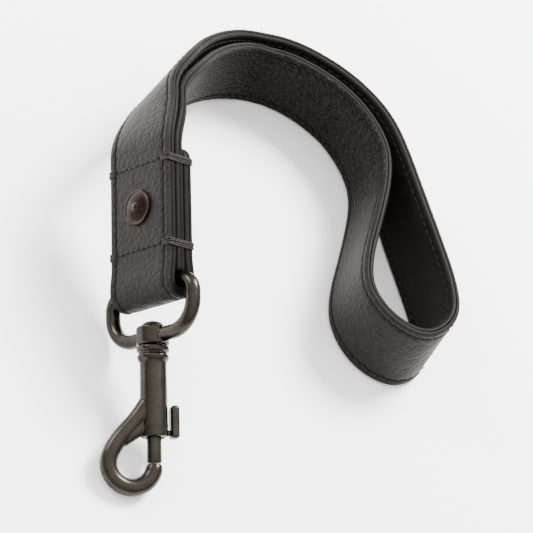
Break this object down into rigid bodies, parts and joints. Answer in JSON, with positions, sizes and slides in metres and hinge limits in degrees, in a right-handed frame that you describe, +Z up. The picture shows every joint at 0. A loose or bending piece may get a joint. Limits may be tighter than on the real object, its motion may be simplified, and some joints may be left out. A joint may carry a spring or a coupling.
{
  "type": "wristlet keychain",
  "caption": "Doubled leather wrist strap, riveted and cross-stitched round a swivel eye that carries a snap hook with a sprung sliding gate.",
  "frame": {"origin": "on the surface it lies on, below the middle of the whole object's box", "axes": "+Z up from the surface; -Y is where the snap hook points; +X from the riveted stack towards the strap's loop"},
  "size_m": [0.1162, 0.1578, 0.0481],
  "materials": {
    "pebbled_leather": "pebbled, semi-matt charcoal brown",
    "lining_leather": "smooth, matt, dark brown black",
    "waxed_thread": "waxed twisted thread",
    "aged_bronze": "antique bronze, satin",
    "antique_gunmetal": "antique gunmetal plating, satin",
    "spring_steel": "bright drawn wire"
  },
  "bodies": {
    "strap": {"strap_outer_leather": "pebbled_leather", "strap_lining_leather": "lining_leather", "lower_seam_face_thread": "waxed_thread", "upper_seam_face_thread": "waxed_thread", "lower_seam_lining_thread": "waxed_thread", "upper_seam_lining_thread": "waxed_thread", "cross_seam_near_ring": "waxed_thread", "cross_seam_near_tail": "waxed_thread", "rivet_cap": "aged_bronze", "rivet_post": "aged_bronze", "rivet_back_cap": "aged_bronze"},
    "eye": {"swivel_eye": "antique_gunmetal"},
    "snap": {"swivel_stud": "antique_gunmetal", "snap_body": "antique_gunmetal", "gate_spring": "spring_steel"},
    "gate": {"gate_bolt": "antique_gunmetal", "thumb_lever": "antique_gunmetal"}
  },
  "joints": [
    {"name": "eye_swing", "type": "hinge", "parent": "strap", "child": "eye", "pos_m": [-0.04216, -0.02135, 0.02148], "axis": [0.3746, -0.2865, 0.8818], "range_deg": [-90, 90]},
    {"name": "hook_swivel", "type": "hinge", "parent": "eye", "child": "snap", "pos_m": [-0.04216, -0.03505, 0.01702], "axis": [0, 0.9511, 0.309], "continuous": true},
    {"name": "gate_slide", "type": "slide", "parent": "snap", "child": "gate", "axis": [0, 0.9511, 0.309], "range_m": [0, 0.0072], "stiffness_N_per_m": 600, "springref_m": -0.004, "deforming": ["gate_spring"]}
  ]
}
